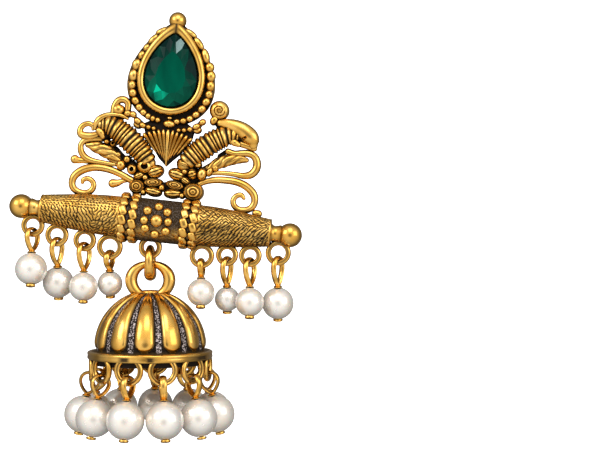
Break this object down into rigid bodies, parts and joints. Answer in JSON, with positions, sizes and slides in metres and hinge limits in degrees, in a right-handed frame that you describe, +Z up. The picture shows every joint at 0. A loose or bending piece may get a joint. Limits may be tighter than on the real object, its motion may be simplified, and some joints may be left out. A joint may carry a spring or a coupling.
{
  "type": "jhumka earring",
  "caption": "Antique-gold jhumka earring: pierced crest with a green pear stone, turned crossbar with pearl drops, and a fluted bell fringed with pearls hanging from a link.",
  "frame": {"origin": "foot of the ear post, on the flat back of the crest behind the stone", "axes": "+Z up as the earring hangs, front towards -Y, ear post towards +Y"},
  "size_m": [0.0468, 0.0268, 0.0677],
  "materials": {
    "antique_gold": "antiqued, polished on the high places and dark in the recesses",
    "pearl": "pearl lustre",
    "green_stone": "polished facets",
    "post_metal": "plain"
  },
  "bodies": {
    "head": {"crest_and_bar": "antique_gold", "pear_stone": "green_stone", "ear_post": "post_metal", "bar_pearl_1": "pearl", "bar_pin_1": "antique_gold", "bar_pearl_2": "pearl", "bar_pin_2": "antique_gold", "bar_pearl_3": "pearl", "bar_pin_3": "antique_gold", "bar_pearl_4": "pearl", "bar_pin_4": "antique_gold", "bar_pearl_5": "pearl", "bar_pin_5": "antique_gold", "bar_pearl_6": "pearl", "bar_pin_6": "antique_gold", "bar_pearl_7": "pearl", "bar_pin_7": "antique_gold", "bar_pearl_8": "pearl", "bar_pin_8": "antique_gold"},
    "link": {"hanging_link": "antique_gold"},
    "bell_group": {"bell": "antique_gold", "bell_pearl_01": "pearl", "bell_pin_01": "antique_gold", "bell_pearl_02": "pearl", "bell_pin_02": "antique_gold", "bell_pearl_03": "pearl", "bell_pin_03": "antique_gold", "bell_pearl_04": "pearl", "bell_pin_04": "antique_gold", "bell_pearl_05": "pearl", "bell_pin_05": "antique_gold", "bell_pearl_06": "pearl", "bell_pin_06": "antique_gold", "bell_pearl_07": "pearl", "bell_pin_07": "antique_gold", "bell_pearl_08": "pearl", "bell_pin_08": "antique_gold", "bell_pearl_09": "pearl", "bell_pin_09": "antique_gold", "bell_pearl_10": "pearl", "bell_pin_10": "antique_gold", "bell_pearl_11": "pearl", "bell_pin_11": "antique_gold"}
  },
  "joints": [
    {"name": "link_swing", "type": "hinge", "parent": "head", "child": "link", "pos_m": [-0.00345, -0.0018, -0.02916], "axis": [1, 0, 0], "range_deg": [-40, 40]},
    {"name": "bell_swing", "type": "hinge", "parent": "link", "child": "bell_group", "pos_m": [-0.00345, -0.0018, -0.03213], "axis": [0, 1, 0], "range_deg": [-6, 6]}
  ]
}
